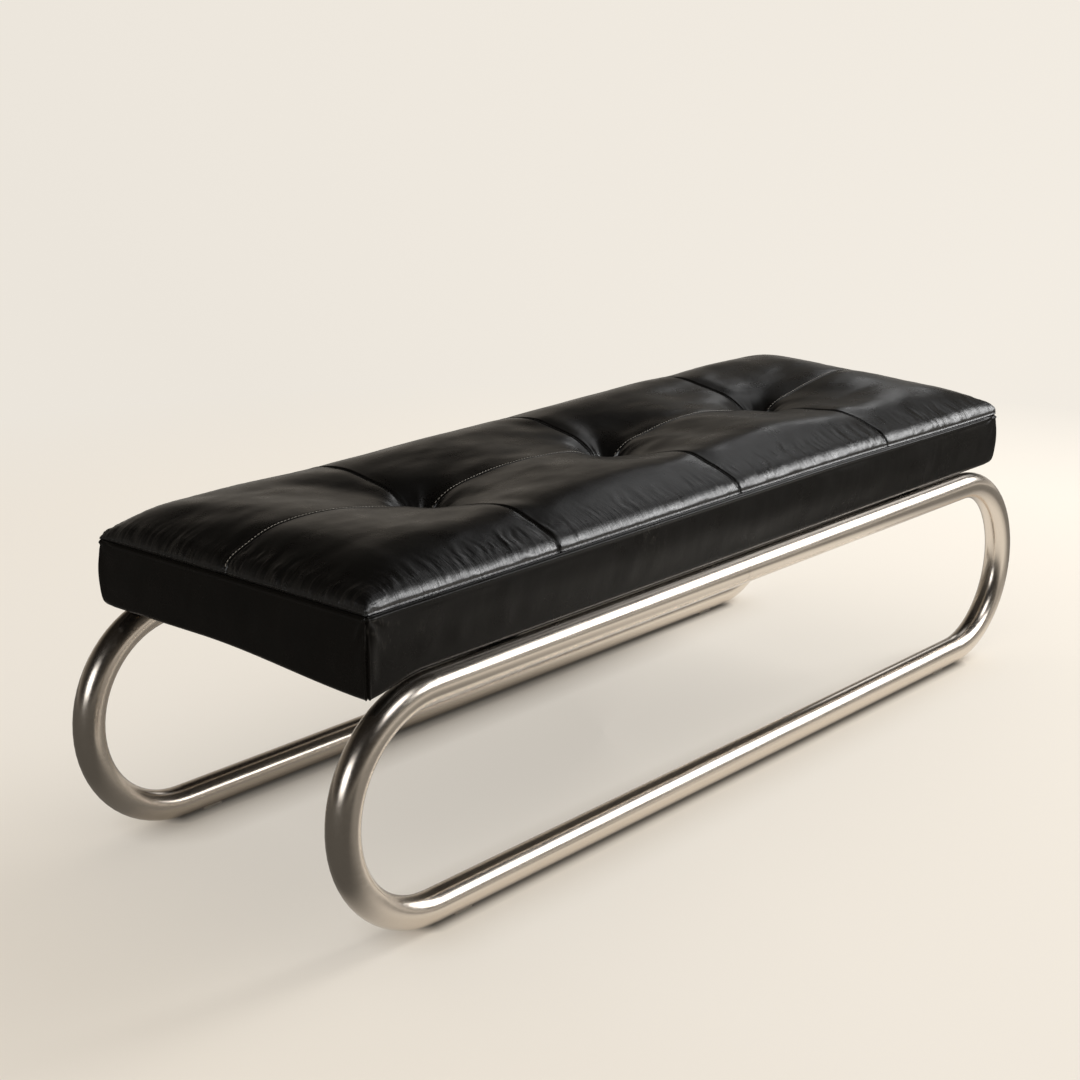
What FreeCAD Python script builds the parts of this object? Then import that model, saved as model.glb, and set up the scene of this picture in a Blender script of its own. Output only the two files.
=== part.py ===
import FreeCAD, Part
import math
import os

# A leather bench: a tufted, boxed leather seat on two closed loops of polished tube.
# Millimetres. X runs along the length, Y from front to rear, Z up.
# The origin is on the floor, under the middle of the bench.

Vector = FreeCAD.Vector
X_AXIS = Vector(1, 0, 0)
Y_AXIS = Vector(0, 1, 0)
Z_AXIS = Vector(0, 0, 1)

# Tube loops
tube_diameter = 38.0
tube_wall = 2.0
bend_radius = 128.0  # centre line of the half-round ends
loop_overhang = 54.0  # how far a half-round end stands out past the seat's end
loop_inset = 5.5  # from the seat's side to the tube's centre line
joint_gap = 0.5  # root of the butt joint that closes each loop
sleeve_length = 90.0
sleeve_wall = 2.5
sleeve_clearance = 0.2

# Floor glides
glide_length = 30.0
glide_width = 14.0
glide_lift = 2.0  # floor to the underside of the tube
glide_inset = 45.0  # from the start of the bend to the middle of the glide
glide_clearance = 0.2
peg_diameter = 8.0
peg_length = 8.0  # past the tube's wall

# Cross rails
rail_width = 40.0
rail_height = 20.0
rail_wall = 2.0
rail_corner_radius = 3.0
rail_inset = 131.0  # from the start of the bend to the middle of the rail
weld_gap = 0.2

# Seat fixings
screw_spacing = 240.0  # along a rail
screw_diameter = 6.0
screw_length = 38.0
screw_head_diameter = 10.5
screw_head_height = 3.3
screw_socket_width = 4.0  # across the flats
screw_socket_depth = 2.0
screw_clearance = 0.3
washer_diameter = 16.0
washer_thickness = 1.6
tee_nut_flange_diameter = 19.0
tee_nut_flange_thickness = 1.5
tee_nut_barrel_diameter = 8.0
tee_nut_barrel_length = 12.0
thread_clearance = 0.1
fixing_clearance = 0.2

# Seat
seat_length = 1308.0
seat_width = 444.0
boxing_height = 80.4
leather_thickness = 1.6
leather_clearance = 0.3
side_bulge = 2.0  # how far the boxing swells past its seams
roll_radius = 8.0  # lower edge of the boxing
turn_under = 50.0  # leather under the board, from the seat's side
board_inset = 26.0  # from the seat's side to the board's edge
board_thickness = 18.0
board_corner_radius = 20.0
board_clearance = 0.3
dust_cover_inset = 36.0
dust_cover_thickness = 0.6

# Crown, seams and tufts of the top
tuft_spacing = 347.0  # from one transverse seam, with its tuft, to the next
crown_height = 38.0  # side seam to the highest line of a panel
edge_roll = 75.0  # width of the rounded outer edge of a panel
end_rise = 2.5  # crown left where a panel meets the end seam
seam_dip = 5.0  # how far a sewn valley lies below the crown
valley_roll = 58.0  # width of the rounded edge beside the lengthwise seam
tuft_depth = 40.0  # crown to the leather at a tuft
pad_least_thickness = 5.0  # padding left under a tuft
button_diameter = 16.0
button_rim_height = 4.0
button_dome_height = 3.0
button_clearance = 0.3
twine_diameter = 2.0
twine_clearance = 0.3
knot_diameter = 6.0
knot_height = 2.4
anchor_diameter = 25.0
anchor_thickness = 2.0

# One overrun for every cut
overrun = 5.0

# Stations of a panel's sections along its length, from one seam to the other, and how much of the
# way from the value at the seam to the value at the middle of the panel each one has gone
station_shares = (0, 0.07, 0.2, 0.5, 0.8, 0.93, 1)
inner_seam_shares = (0, 0.5, 0.88, 1)
end_seam_shares = (0, 0.6, 0.93, 1)

# Sizes worked out from the ones above
tube_radius = tube_diameter / 2
bore_radius = tube_radius - tube_wall
lower_run_z = glide_lift + tube_radius
upper_run_z = lower_run_z + 2 * bend_radius
loop_top_z = upper_run_z + tube_radius
loop_spacing = seat_width - 2 * loop_inset
straight_half = seat_length / 2 + loop_overhang - tube_radius - bend_radius
leather_bottom_z = loop_top_z + dust_cover_thickness
board_bottom_z = leather_bottom_z + leather_thickness
board_top_z = board_bottom_z + board_thickness
seam_z = leather_bottom_z + boxing_height
crest_z = seam_z + crown_height
foam_top_z = crest_z - tuft_depth - pad_least_thickness
rail_bottom_z = loop_top_z - rail_height
seam_half_length = seat_length / 2 - side_bulge
seam_half_width = seat_width / 2 - side_bulge
filling_half_length = seam_half_length - leather_thickness - leather_clearance
filling_half_width = seam_half_width - leather_thickness - leather_clearance
board_length = seat_length - 2 * board_inset
board_width = seat_width - 2 * board_inset
anchor_recess_depth = anchor_thickness + knot_height
anchor_bottom_z = board_bottom_z + knot_height

loop_places = {"front": -loop_spacing / 2, "rear": loop_spacing / 2}
rail_places = {"left": rail_inset - straight_half, "right": straight_half - rail_inset}
glide_places = {"left": glide_inset - straight_half, "right": straight_half - glide_inset}
screw_places = [(x, side * screw_spacing / 2) for x in rail_places.values() for side in (-1, 1)]
tuft_places = [-tuft_spacing, 0, tuft_spacing]
seam_places = [-seam_half_length, *tuft_places, seam_half_length]
panels_in_row = len(seam_places) - 1


def centred_box(length, width, height, bottom_z):
    return Part.makeBox(length, width, height, Vector(-length / 2, -width / 2, bottom_z))


def rounded_plate(length, width, height, bottom_z, corner_radius):
    plate = centred_box(length, width, height, bottom_z)
    upright = [edge for edge in plate.Edges if edge.BoundBox.ZLength > height / 2]
    return plate.makeFillet(corner_radius, upright)


def pin(diameter, bottom_z, top_z, x, y):
    return Part.makeCylinder(diameter / 2, top_z - bottom_z, Vector(x, y, bottom_z))


def washer(outer_diameter, hole_diameter, bottom_z, top_z, x, y):
    plate = pin(outer_diameter, bottom_z, top_z, x, y)
    return plate.cut(pin(hole_diameter, bottom_z - overrun, top_z + overrun, x, y))


def segment(start, end):
    return Part.LineSegment(start, end).toShape()


def crest_arc(crest, end):
    """Arc across the seat that leaves the crest level and falls to the end point."""
    reach = end.y - crest.y
    fall = crest.z - end.z
    radius = (reach**2 + fall**2) / (2 * fall)
    half_turn = math.atan2(abs(reach), radius - fall) / 2
    sideways = math.copysign(radius * math.sin(half_turn), reach)
    middle = crest + Vector(0, sideways, radius * math.cos(half_turn) - radius)
    return Part.Arc(crest, middle, end).toShape()


def loop_tube(y):
    """One bent tube, from the right side of its joint round the loop to the left side."""

    def at(x, z):
        return Vector(x, y, z)

    middle_z = lower_run_z + bend_radius
    end_x = straight_half + bend_radius
    start = at(joint_gap / 2, upper_run_z)
    finish = at(-joint_gap / 2, upper_run_z)
    top_right = at(straight_half, upper_run_z)
    low_right = at(straight_half, lower_run_z)
    low_left = at(-straight_half, lower_run_z)
    top_left = at(-straight_half, upper_run_z)
    path = Part.Wire(
        [
            segment(start, top_right),
            Part.Arc(top_right, at(end_x, middle_z), low_right).toShape(),
            segment(low_right, low_left),
            Part.Arc(low_left, at(-end_x, middle_z), top_left).toShape(),
            segment(top_left, finish),
        ]
    )
    outside = Part.Face(Part.Wire(Part.makeCircle(tube_radius, start, X_AXIS)))
    bore = Part.Face(Part.Wire(Part.makeCircle(bore_radius, start, X_AXIS)))
    tube = path.makePipe(outside.cut(bore))
    for x in glide_places.values():
        hole_diameter = peg_diameter + 2 * glide_clearance
        tube = tube.cut(pin(hole_diameter, glide_lift - overrun, lower_run_z, x, y))
    return tube


def joint_sleeve(y):
    """Short inner tube that bridges the joint of a loop."""
    outer_radius = bore_radius - sleeve_clearance
    start = Vector(-sleeve_length / 2, y, upper_run_z)
    sleeve = Part.makeCylinder(outer_radius, sleeve_length, start, X_AXIS)
    bore_start = start - X_AXIS * overrun
    bore = Part.makeCylinder(outer_radius - sleeve_wall, sleeve_length + 2 * overrun, bore_start, X_AXIS)
    return sleeve.cut(bore)


def floor_glide(x, y):
    """Low foot with a saddle for the tube and a peg that pushes into it."""
    half_width = glide_width / 2
    saddle_z = lower_run_z - math.sqrt(tube_radius**2 - half_width**2)
    corner = Vector(x - glide_length / 2, y - half_width, 0)
    foot = Part.makeBox(glide_length, glide_width, saddle_z, corner)
    upright = [edge for edge in foot.Edges if edge.BoundBox.ZLength > saddle_z / 2]
    foot = foot.makeFillet(half_width / 2, upright)
    saddle_start = Vector(x - glide_length, y, lower_run_z)
    saddle = Part.makeCylinder(tube_radius + glide_clearance, 2 * glide_length, saddle_start, X_AXIS)
    peg_top_z = glide_lift + tube_wall + peg_length
    return foot.cut(saddle).fuse(pin(peg_diameter, glide_lift / 2, peg_top_z, x, y)).removeSplitter()


def cross_rail(x):
    """Rectangular tube between the loops, hollowed out at its ends to sit against them."""
    corner = Vector(x - rail_width / 2, -loop_spacing / 2, rail_bottom_z)
    bar = Part.makeBox(rail_width, loop_spacing, rail_height, corner)
    long_edges = [edge for edge in bar.Edges if edge.BoundBox.YLength > loop_spacing / 2]
    bar = bar.makeFillet(rail_corner_radius, long_edges)
    bore_corner = corner + Vector(rail_wall, -overrun, rail_wall)
    bore_width = rail_width - 2 * rail_wall
    bore_height = rail_height - 2 * rail_wall
    rail = bar.cut(Part.makeBox(bore_width, loop_spacing + 2 * overrun, bore_height, bore_corner))
    for y in loop_places.values():
        saddle_start = Vector(x - rail_width / 2 - overrun, y, upper_run_z)
        saddle_length = rail_width + 2 * overrun
        rail = rail.cut(Part.makeCylinder(tube_radius + weld_gap, saddle_length, saddle_start, X_AXIS))
    hole_diameter = screw_diameter + 2 * screw_clearance
    for side in (-1, 1):
        y = side * screw_spacing / 2
        rail = rail.cut(pin(hole_diameter, rail_bottom_z - overrun, loop_top_z + overrun, x, y))
    return rail


def seat_screw(x, y):
    """Domed screw with a hexagonal socket, its head under the rail."""
    seat_z = rail_bottom_z - washer_thickness
    shank = pin(screw_diameter, seat_z, seat_z + screw_length, x, y)
    low = Vector(x, y, seat_z - screw_head_height)
    rim = Vector(x, y + screw_head_diameter / 2, seat_z)
    bulge_share = 0.75
    middle = Vector(x, low.y + (rim.y - low.y) * bulge_share, seat_z - screw_head_height * bulge_share)
    outline = [
        Part.Arc(low, middle, rim).toShape(),
        segment(rim, Vector(x, y, seat_z)),
        segment(Vector(x, y, seat_z), low),
    ]
    head = Part.Face(Part.Wire(outline)).revolve(low, Z_AXIS, 360)
    socket_radius = screw_socket_width / math.sqrt(3)
    turns = [math.radians(60 * i) for i in range(7)]
    hexagon = [low + Vector(math.cos(t), math.sin(t), 0) * socket_radius for t in turns]
    socket = Part.Face(Part.makePolygon(hexagon)).extrude(Z_AXIS * screw_socket_depth)
    return shank.fuse(head).cut(socket)


def seat_washer(x, y):
    hole_diameter = screw_diameter + 2 * screw_clearance
    return washer(washer_diameter, hole_diameter, rail_bottom_z - washer_thickness, rail_bottom_z, x, y)


def tee_nut(x, y):
    """Nut let into the top of the board, barrel downwards."""
    flange_bottom_z = board_top_z - tee_nut_flange_thickness
    barrel_bottom_z = flange_bottom_z - tee_nut_barrel_length
    flange = pin(tee_nut_flange_diameter, flange_bottom_z, board_top_z, x, y)
    body = flange.fuse(pin(tee_nut_barrel_diameter, barrel_bottom_z, flange_bottom_z, x, y))
    bore_diameter = screw_diameter + 2 * thread_clearance
    return body.cut(pin(bore_diameter, barrel_bottom_z - overrun, board_top_z + overrun, x, y))


def seat_board():
    """Plywood board with seats for the tee nuts above and for the tuft anchors below."""
    board = rounded_plate(board_length, board_width, board_thickness, board_bottom_z, board_corner_radius)
    barrel_hole = tee_nut_barrel_diameter + 2 * fixing_clearance
    flange_hole = tee_nut_flange_diameter + 2 * fixing_clearance
    flange_bottom_z = board_top_z - tee_nut_flange_thickness
    for x, y in screw_places:
        board = board.cut(pin(barrel_hole, board_bottom_z - overrun, board_top_z + overrun, x, y))
        board = board.cut(pin(flange_hole, flange_bottom_z, board_top_z + overrun, x, y))
    twine_hole = twine_diameter + 2 * twine_clearance
    recess_hole = anchor_diameter + 2 * fixing_clearance
    recess_top_z = board_bottom_z + anchor_recess_depth
    for x in tuft_places:
        board = board.cut(pin(twine_hole, board_bottom_z - overrun, board_top_z + overrun, x, 0))
        board = board.cut(pin(recess_hole, board_bottom_z - overrun, recess_top_z, x, 0))
    return board


def dust_cover():
    """Thin cloth under the board, over the turned-under leather."""
    length = seat_length - 2 * dust_cover_inset
    width = seat_width - 2 * dust_cover_inset
    cover = rounded_plate(length, width, dust_cover_thickness, loop_top_z, board_corner_radius)
    hole_diameter = screw_diameter + 2 * screw_clearance
    for x, y in screw_places:
        cover = cover.cut(pin(hole_diameter, loop_top_z - overrun, leather_bottom_z + overrun, x, y))
    return cover


def foam_core():
    """Foam block over the board, lapping down round its edges and rounded like the leather there."""
    height = foam_top_z - board_bottom_z
    core = centred_box(2 * filling_half_length, 2 * filling_half_width, height, board_bottom_z)
    lower_edges = [edge for edge in core.Edges if edge.BoundBox.ZMax < board_top_z]
    core = core.makeFillet(roll_radius - leather_thickness - leather_clearance, lower_edges)
    pocket_length = board_length + 2 * board_clearance
    pocket_width = board_width + 2 * board_clearance
    pocket_bottom_z = board_bottom_z - overrun
    pocket_height = board_top_z - pocket_bottom_z
    core = core.cut(
        rounded_plate(pocket_length, pocket_width, pocket_height, pocket_bottom_z, board_corner_radius)
    )
    twine_hole = twine_diameter + 2 * twine_clearance
    for x in tuft_places:
        core = core.cut(pin(twine_hole, board_bottom_z, foam_top_z + overrun, x, 0))
    return core


def boxing_strip(out_axis, run_axis, half_out, half_run):
    """Leather band on one side of the seat: swollen between its seams, rolled and turned under."""

    def at(out, z):
        return out_axis * out - run_axis * half_run + Z_AXIS * z

    seam_out = half_out - side_bulge
    roll_z = leather_bottom_z + roll_radius
    middle_z = (seam_z + roll_z) / 2
    roll_out = seam_out - roll_radius
    flange_out = half_out - turn_under
    inner_roll = roll_radius - leather_thickness
    diagonal = math.sqrt(0.5)
    upper = at(seam_out, seam_z)
    lower = at(seam_out, roll_z)
    under = at(roll_out, leather_bottom_z)
    inner_under = at(roll_out, board_bottom_z)
    inner_lower = at(seam_out - leather_thickness, roll_z)
    inner_upper = at(seam_out - leather_thickness, seam_z)
    outer_bend = at(roll_out + roll_radius * diagonal, roll_z - roll_radius * diagonal)
    inner_bend = at(roll_out + inner_roll * diagonal, roll_z - inner_roll * diagonal)
    outline = [
        Part.Arc(upper, at(half_out, middle_z), lower).toShape(),
        Part.Arc(lower, outer_bend, under).toShape(),
        segment(under, at(flange_out, leather_bottom_z)),
        segment(at(flange_out, leather_bottom_z), at(flange_out, board_bottom_z)),
        segment(at(flange_out, board_bottom_z), inner_under),
        Part.Arc(inner_under, inner_bend, inner_lower).toShape(),
        Part.Arc(inner_lower, at(half_out - leather_thickness, middle_z), inner_upper).toShape(),
        segment(inner_upper, upper),
    ]
    strip = Part.Face(Part.Wire(outline)).extrude(run_axis * (2 * half_run))
    mitre_depth = turn_under + overrun
    mitre_bottom_z = leather_bottom_z - overrun
    near_corner = out_axis * half_out + Z_AXIS * mitre_bottom_z
    far_corner = out_axis * (half_out - mitre_depth) + Z_AXIS * mitre_bottom_z
    far_run = half_run - mitre_depth
    plan = [
        near_corner - run_axis * half_run,
        near_corner + run_axis * half_run,
        far_corner + run_axis * far_run,
        far_corner - run_axis * far_run,
        near_corner - run_axis * half_run,
    ]
    mitre = Part.Face(Part.makePolygon(plan)).extrude(Z_AXIS * (boxing_height + 2 * overrun))
    return strip.common(mitre)


def panel_section(x, side, rise, dip):
    """Outline of a top panel across the seat: a flat base with an arc, a line and an arc over it."""

    def at(y, z):
        return Vector(x, side * y, z)

    lip_z = seam_z + leather_thickness
    top_z = lip_z + rise
    edge = at(seam_half_width, lip_z)
    outer_crest = at(seam_half_width - edge_roll, top_z)
    inner_crest = at(valley_roll, top_z)
    centre = at(0, top_z - dip)
    base_edge = at(seam_half_width, foam_top_z)
    base_centre = at(0, foam_top_z)
    return Part.Wire(
        [
            segment(base_centre, base_edge),
            segment(base_edge, edge),
            crest_arc(outer_crest, edge),
            segment(outer_crest, inner_crest),
            crest_arc(inner_crest, centre),
            segment(centre, base_centre),
        ]
    )


def top_panel(index, side):
    """One sewn leather panel with its padding, lofted from seam to seam along the seat."""
    start_x = seam_places[index]
    length = seam_places[index + 1] - start_x
    full_rise = crown_height - leather_thickness
    inner_seam = (full_rise - seam_dip, tuft_depth - seam_dip, inner_seam_shares)
    end_seam = (end_rise, end_rise / 2, end_seam_shares)
    first_seam = inner_seam if index > 0 else end_seam
    last_seam = inner_seam if index < panels_in_row - 1 else end_seam
    middle = len(station_shares) // 2
    sections = []
    for number, station in enumerate(station_shares):
        rise, dip, shares = first_seam if number < middle else last_seam
        share = shares[middle - abs(number - middle)]
        section_rise = rise + (full_rise - rise) * share
        section_dip = dip + (seam_dip - dip) * share
        sections.append(panel_section(start_x + length * station, side, section_rise, section_dip))
    panel = Part.makeLoft(sections, True, False)
    rim_height = seam_z - foam_top_z
    rim = centred_box(seat_length, seat_width, rim_height + overrun, foam_top_z - overrun)
    filling = centred_box(
        2 * filling_half_length, 2 * filling_half_width, rim_height + 2 * overrun, foam_top_z - overrun
    )
    panel = panel.cut(rim.cut(filling))
    for x in tuft_places:
        hole_diameter = button_diameter + 2 * button_clearance
        panel = panel.cut(pin(hole_diameter, foam_top_z - overrun, crest_z, x, 0))
    return panel


def tuft_button(x):
    """Leather-covered button at the bottom of a tuft."""
    radius = button_diameter / 2
    rim_z = foam_top_z + button_rim_height
    base = Vector(x, 0, foam_top_z)
    base_edge = Vector(x, radius, foam_top_z)
    rim = Vector(x, radius, rim_z)
    crown = Vector(x, 0, rim_z + button_dome_height)
    outline = [segment(base, base_edge), segment(base_edge, rim), crest_arc(crown, rim), segment(crown, base)]
    return Part.Face(Part.Wire(outline)).revolve(base, Z_AXIS, 360)


def tuft_twine(x):
    """Twine from the button down to its knot under the anchor."""
    cord = pin(twine_diameter, anchor_bottom_z, foam_top_z, x, 0)
    knot = pin(knot_diameter, board_bottom_z, anchor_bottom_z, x, 0)
    return cord.fuse(knot)


def tuft_anchor(x):
    """Washer under the board that takes the pull of a tuft."""
    hole_diameter = twine_diameter + 2 * twine_clearance
    top_z = anchor_bottom_z + anchor_thickness
    return washer(anchor_diameter, hole_diameter, anchor_bottom_z, top_z, x, 0)


pieces = {}
for place, y in loop_places.items():
    pieces[f"{place}_loop_tube"] = loop_tube(y)
    pieces[f"{place}_joint_sleeve"] = joint_sleeve(y)
    for end, x in glide_places.items():
        pieces[f"floor_glide_{place}_{end}"] = floor_glide(x, y)
for end, x in rail_places.items():
    pieces[f"cross_rail_{end}"] = cross_rail(x)
pieces["seat_screws"] = Part.makeCompound([seat_screw(x, y) for x, y in screw_places])
pieces["seat_washers"] = Part.makeCompound([seat_washer(x, y) for x, y in screw_places])
pieces["tee_nuts"] = Part.makeCompound([tee_nut(x, y) for x, y in screw_places])
pieces["seat_board"] = seat_board()
pieces["dust_cover"] = dust_cover()
pieces["foam_core"] = foam_core()
pieces["boxing_front"] = boxing_strip(-Y_AXIS, X_AXIS, seat_width / 2, seat_length / 2)
pieces["boxing_rear"] = boxing_strip(Y_AXIS, X_AXIS, seat_width / 2, seat_length / 2)
pieces["boxing_left"] = boxing_strip(-X_AXIS, Y_AXIS, seat_length / 2, seat_width / 2)
pieces["boxing_right"] = boxing_strip(X_AXIS, Y_AXIS, seat_length / 2, seat_width / 2)
for row, side in (("front", -1), ("rear", 1)):
    for index in range(panels_in_row):
        pieces[f"top_panel_{row}_{index + 1}"] = top_panel(index, side)
pieces["tuft_buttons"] = Part.makeCompound([tuft_button(x) for x in tuft_places])
pieces["tuft_twines"] = Part.makeCompound([tuft_twine(x) for x in tuft_places])
pieces["tuft_anchors"] = Part.makeCompound([tuft_anchor(x) for x in tuft_places])

os.makedirs("parts", exist_ok=True)
for name, shape in pieces.items():
    shape.exportStep(f"parts/{name}.step")
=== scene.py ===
import math

import bpy
import numpy as np
from bpy.props import FloatProperty, FloatVectorProperty, IntProperty, PointerProperty
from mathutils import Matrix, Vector


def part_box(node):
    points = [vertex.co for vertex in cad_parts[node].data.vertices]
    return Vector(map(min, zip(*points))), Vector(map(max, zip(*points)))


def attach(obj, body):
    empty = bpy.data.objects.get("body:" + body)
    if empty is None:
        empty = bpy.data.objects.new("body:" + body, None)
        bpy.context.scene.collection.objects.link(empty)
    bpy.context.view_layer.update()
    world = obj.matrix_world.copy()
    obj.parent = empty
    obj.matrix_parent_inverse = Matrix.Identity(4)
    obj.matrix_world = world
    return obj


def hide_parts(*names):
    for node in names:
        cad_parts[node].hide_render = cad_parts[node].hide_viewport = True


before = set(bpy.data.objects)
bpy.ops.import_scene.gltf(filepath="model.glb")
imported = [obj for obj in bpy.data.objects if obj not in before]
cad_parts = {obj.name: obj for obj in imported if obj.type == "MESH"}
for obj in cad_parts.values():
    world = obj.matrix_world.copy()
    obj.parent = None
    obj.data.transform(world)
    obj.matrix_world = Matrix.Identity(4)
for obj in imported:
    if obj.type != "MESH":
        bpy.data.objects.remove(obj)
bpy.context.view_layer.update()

bl_info = {
    "name": "Leather bench",
    "version": (1, 0, 0),
    "blender": (4, 5, 0),
    "location": "View3D > Sidebar > Bench",
    "description": "Dresses a tufted leather bench on two loops of polished tube",
    "category": "Object",
}

MM = 0.001

# Places read from the frame
SEAM_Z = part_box("boxing_front")[1].z
LEATHER_BOTTOM_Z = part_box("boxing_front")[0].z
HALF_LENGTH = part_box("top_panel_front_4")[1].x
HALF_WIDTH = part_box("top_panel_rear_4")[1].y
CREST_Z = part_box("top_panel_front_2")[1].z
PAD_BOTTOM_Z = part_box("top_panel_front_2")[0].z
BUTTON_TOP_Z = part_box("tuft_buttons")[1].z
BUTTON_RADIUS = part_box("tuft_buttons")[1].y
SIDE_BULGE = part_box("boxing_right")[1].x - HALF_LENGTH
TURN_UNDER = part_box("boxing_right")[1].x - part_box("boxing_right")[0].x
TUBE_BEND_RADIUS = (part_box("front_loop_tube")[1].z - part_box("front_loop_tube")[0].z) / 2
TUBE_BEND_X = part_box("front_loop_tube")[1].x - TUBE_BEND_RADIUS
TUBE_Y = (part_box("rear_loop_tube")[0].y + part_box("rear_loop_tube")[1].y) / 2
TUFT_PLACES = [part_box(f"top_panel_front_{number}")[0].x for number in (2, 3, 4)]
TOP_PANELS = [f"top_panel_{row}_{number}" for row in ("front", "rear") for number in (1, 2, 3, 4)]

# Sides of the seat: direction along the strip, direction outwards, half its run, half the seat across it
SIDES = {
    "front": ((1, 0, 0), (0, -1, 0), HALF_LENGTH, HALF_WIDTH),
    "rear": ((-1, 0, 0), (0, 1, 0), HALF_LENGTH, HALF_WIDTH),
    "left": ((0, -1, 0), (-1, 0, 0), HALF_WIDTH, HALF_LENGTH),
    "right": ((0, 1, 0), (1, 0, 0), HALF_WIDTH, HALF_LENGTH),
}

# Lines pressed into the leather beside a seam: distance from it in stitch rows, height and width in mm
CROSS_SEAM = ((-1, -0.8, 1.2), (-0.5, 0.9, 1.5))
LENGTH_SEAM = ((0.8, -0.4, 1.0),)
RIM_SEAM = ((0, -2.4, 1.7), (1, -1.0, 1.4), (0.5, 0.7, 1.3))
STRIP_SEAM = ((0, -2.2, 1.7), (0.7, 0.9, 1.7), (1.6, -0.4, 2))

# Spacing of the mesh lines at a seam, and away from it on the top and on the strips
SEAM_LINES = 0.75 * MM
TOP_LINES = 2.9 * MM
STRIP_LINES = 3 * MM

FUNNEL_SHARE = 0.45  # part of a tuft's depth that its wide funnel has, beside its steep pit
BUTTON_SINK = 5 * MM  # how far the leather is drawn below the top of a button
FOOT_PUSH = 1.6  # push at the foot of the rear left corner, as a share of that at its seam
SEAM_HOLD = 0.35  # how firmly a seam of the top is held while the leather settles
STITCH_STOP = 15 * MM  # from a tuft to the first stitch
BUTTON_DOME, BUTTON_FOOT = 4.5 * MM, 1.8 * MM
SMOOTH_ANGLE = math.radians(60)

CLOTH = {
    "quality": 6,
    "mass": 0.3,
    "tension_stiffness": 15,
    "compression_stiffness": 15,
    "shear_stiffness": 4,
    "bending_stiffness": 2.5,
    "shrink_min": -0.003,
    "use_pressure": True,
}

# Panels that only reflections show: place, point they face, width and height, share of the set glow
PANELS = {
    "left_panel": ((-4.1, -0.7, 1.7), (0, 0, 0.3), (2.6, 2.4), 1.2),
    "low_panel": ((2.1, -1.8, 1.6), (0.2, -0.2, 0.39), (3.3, 1.5), 3),
    "front_panel": ((-0.2, -2.3, 2.7), (-0.6, -0.2, 0.39), (1.6, 1.6), 1.3),
    "far_panel": ((5.6, 2.5, 3.0), (-0.1, 0, 0.4), (1.2, 1.8), 0.6),
    "sheen_panel": ((1.9, 0.1, 2.0), (0, -0.1, 0.4), (1.4, 1.4), 0.22),
}
KEY_LAMP = ((2.95, -0.6, 2.15), (0.3, -0.1, 0.35), (1.6, 1.3))

# The leather top as a grid, which the stitches are laid on
SHEETS = {}


def number(name, description, default, unit="NONE"):
    return FloatProperty(name=name, description=description, default=default, unit=unit)


def length(name, description, default):
    return FloatProperty(name=name, description=description, default=default, unit="LENGTH", precision=4)


def share(name, description, default):
    return FloatProperty(name=name, description=description, default=default, subtype="FACTOR", min=0, max=1)


def angle(name, description, degrees):
    return FloatProperty(
        name=name, description=description, default=math.radians(degrees), subtype="ANGLE", unit="ROTATION"
    )


def colour(name, description, default):
    return FloatVectorProperty(
        name=name, description=description, default=default, subtype="COLOR", size=3, min=0, max=1
    )


class BenchSeatSettings(bpy.types.PropertyGroup):
    """Sizes of the leather seat."""

    crown_height: length("Crown height", "Rise of the top above its side seam", CREST_Z - SEAM_Z)
    edge_roll: length("Edge roll", "Width of the rounded edge of the top", 88 * MM)
    tight_roll: length("Tight roll", "Width of the sharper roll at the front and left seams", 17 * MM)
    tight_rise: length("Tight rise", "Height of that roll", 15 * MM)
    rear_fullness: number("Rear fullness", "Power of the rear edge's profile, fuller below 1", 0.62)
    end_fullness: number("End fullness", "Power of the right end's profile, fuller below 1", 0.55)
    corner_radius: length("Corner radius", "Rounding of the seat's upright corners", 5 * MM)
    roll_radius: length("Lower roll", "Radius where the boxing turns under the seat", 8 * MM)
    corner_cut: length("Corner softness", "How far the lower corners draw in", 4 * MM)
    corner_reach: length("Corner reach", "How far from a lower corner it is drawn in", 26 * MM)
    corner_droop: length("Corner droop", "How far the lower edge hangs at the front left corner", 15 * MM)
    corner_push: length("Corner push", "How far the filling pushes the rear left corner out", 3 * MM)
    corner_sink: length("Corner sink", "How far the seam sinks at the front right corner", 6 * MM)
    leather_thickness: length("Leather", "Thickness of the boxing's leather", 1.6 * MM)
    rear_lift: length("Rear lift", "Extra height of the filling at the rear right", 9 * MM)
    tuft_reach: length("Tuft reach", "Distance at which the pull of a tuft has mostly faded", 58 * MM)
    tuft_core: length("Tuft core", "Radius of the steep middle of a tuft", 29 * MM)
    seam_dip: length("Seam dip", "Depth of the soft valley along a seam of the top", 2.6 * MM)
    seam_groove: length("Seam groove", "Depth of the sharp groove of a seam", 2.8 * MM)
    pleat_depth: length("Pleat depth", "Height of the pleats drawn into a tuft", 1.8 * MM)
    crease_depth: length("Crease depth", "Height of the creases along the edges", 1.1 * MM)
    row_offset: length("Stitch row", "From a seam to the row of stitches beside it", 4.4 * MM)
    stitch_pitch: length("Stitch pitch", "From one stitch to the next on the panels", 5.2 * MM)
    rim_pitch: length("Rim pitch", "From one stitch to the next round the edge", 8.4 * MM)
    stitch_gap: length("Stitch gap", "From the end of a stitch to the next", 1.2 * MM)
    thread_width: length("Thread", "Width of the thread", 0.85 * MM)
    cloth_spacing: length("Cloth spacing", "Grid of the simulated leather", 6 * MM)
    cloth_frames: IntProperty(
        name="Cloth frames", description="Frames that the leather settles for", default=20
    )
    cloth_pressure: number("Cloth pressure", "Push of the filling", 0.8)
    cloth_cap: length("Cloth cap", "Furthest that the filling may push the leather", 14 * MM)


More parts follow.
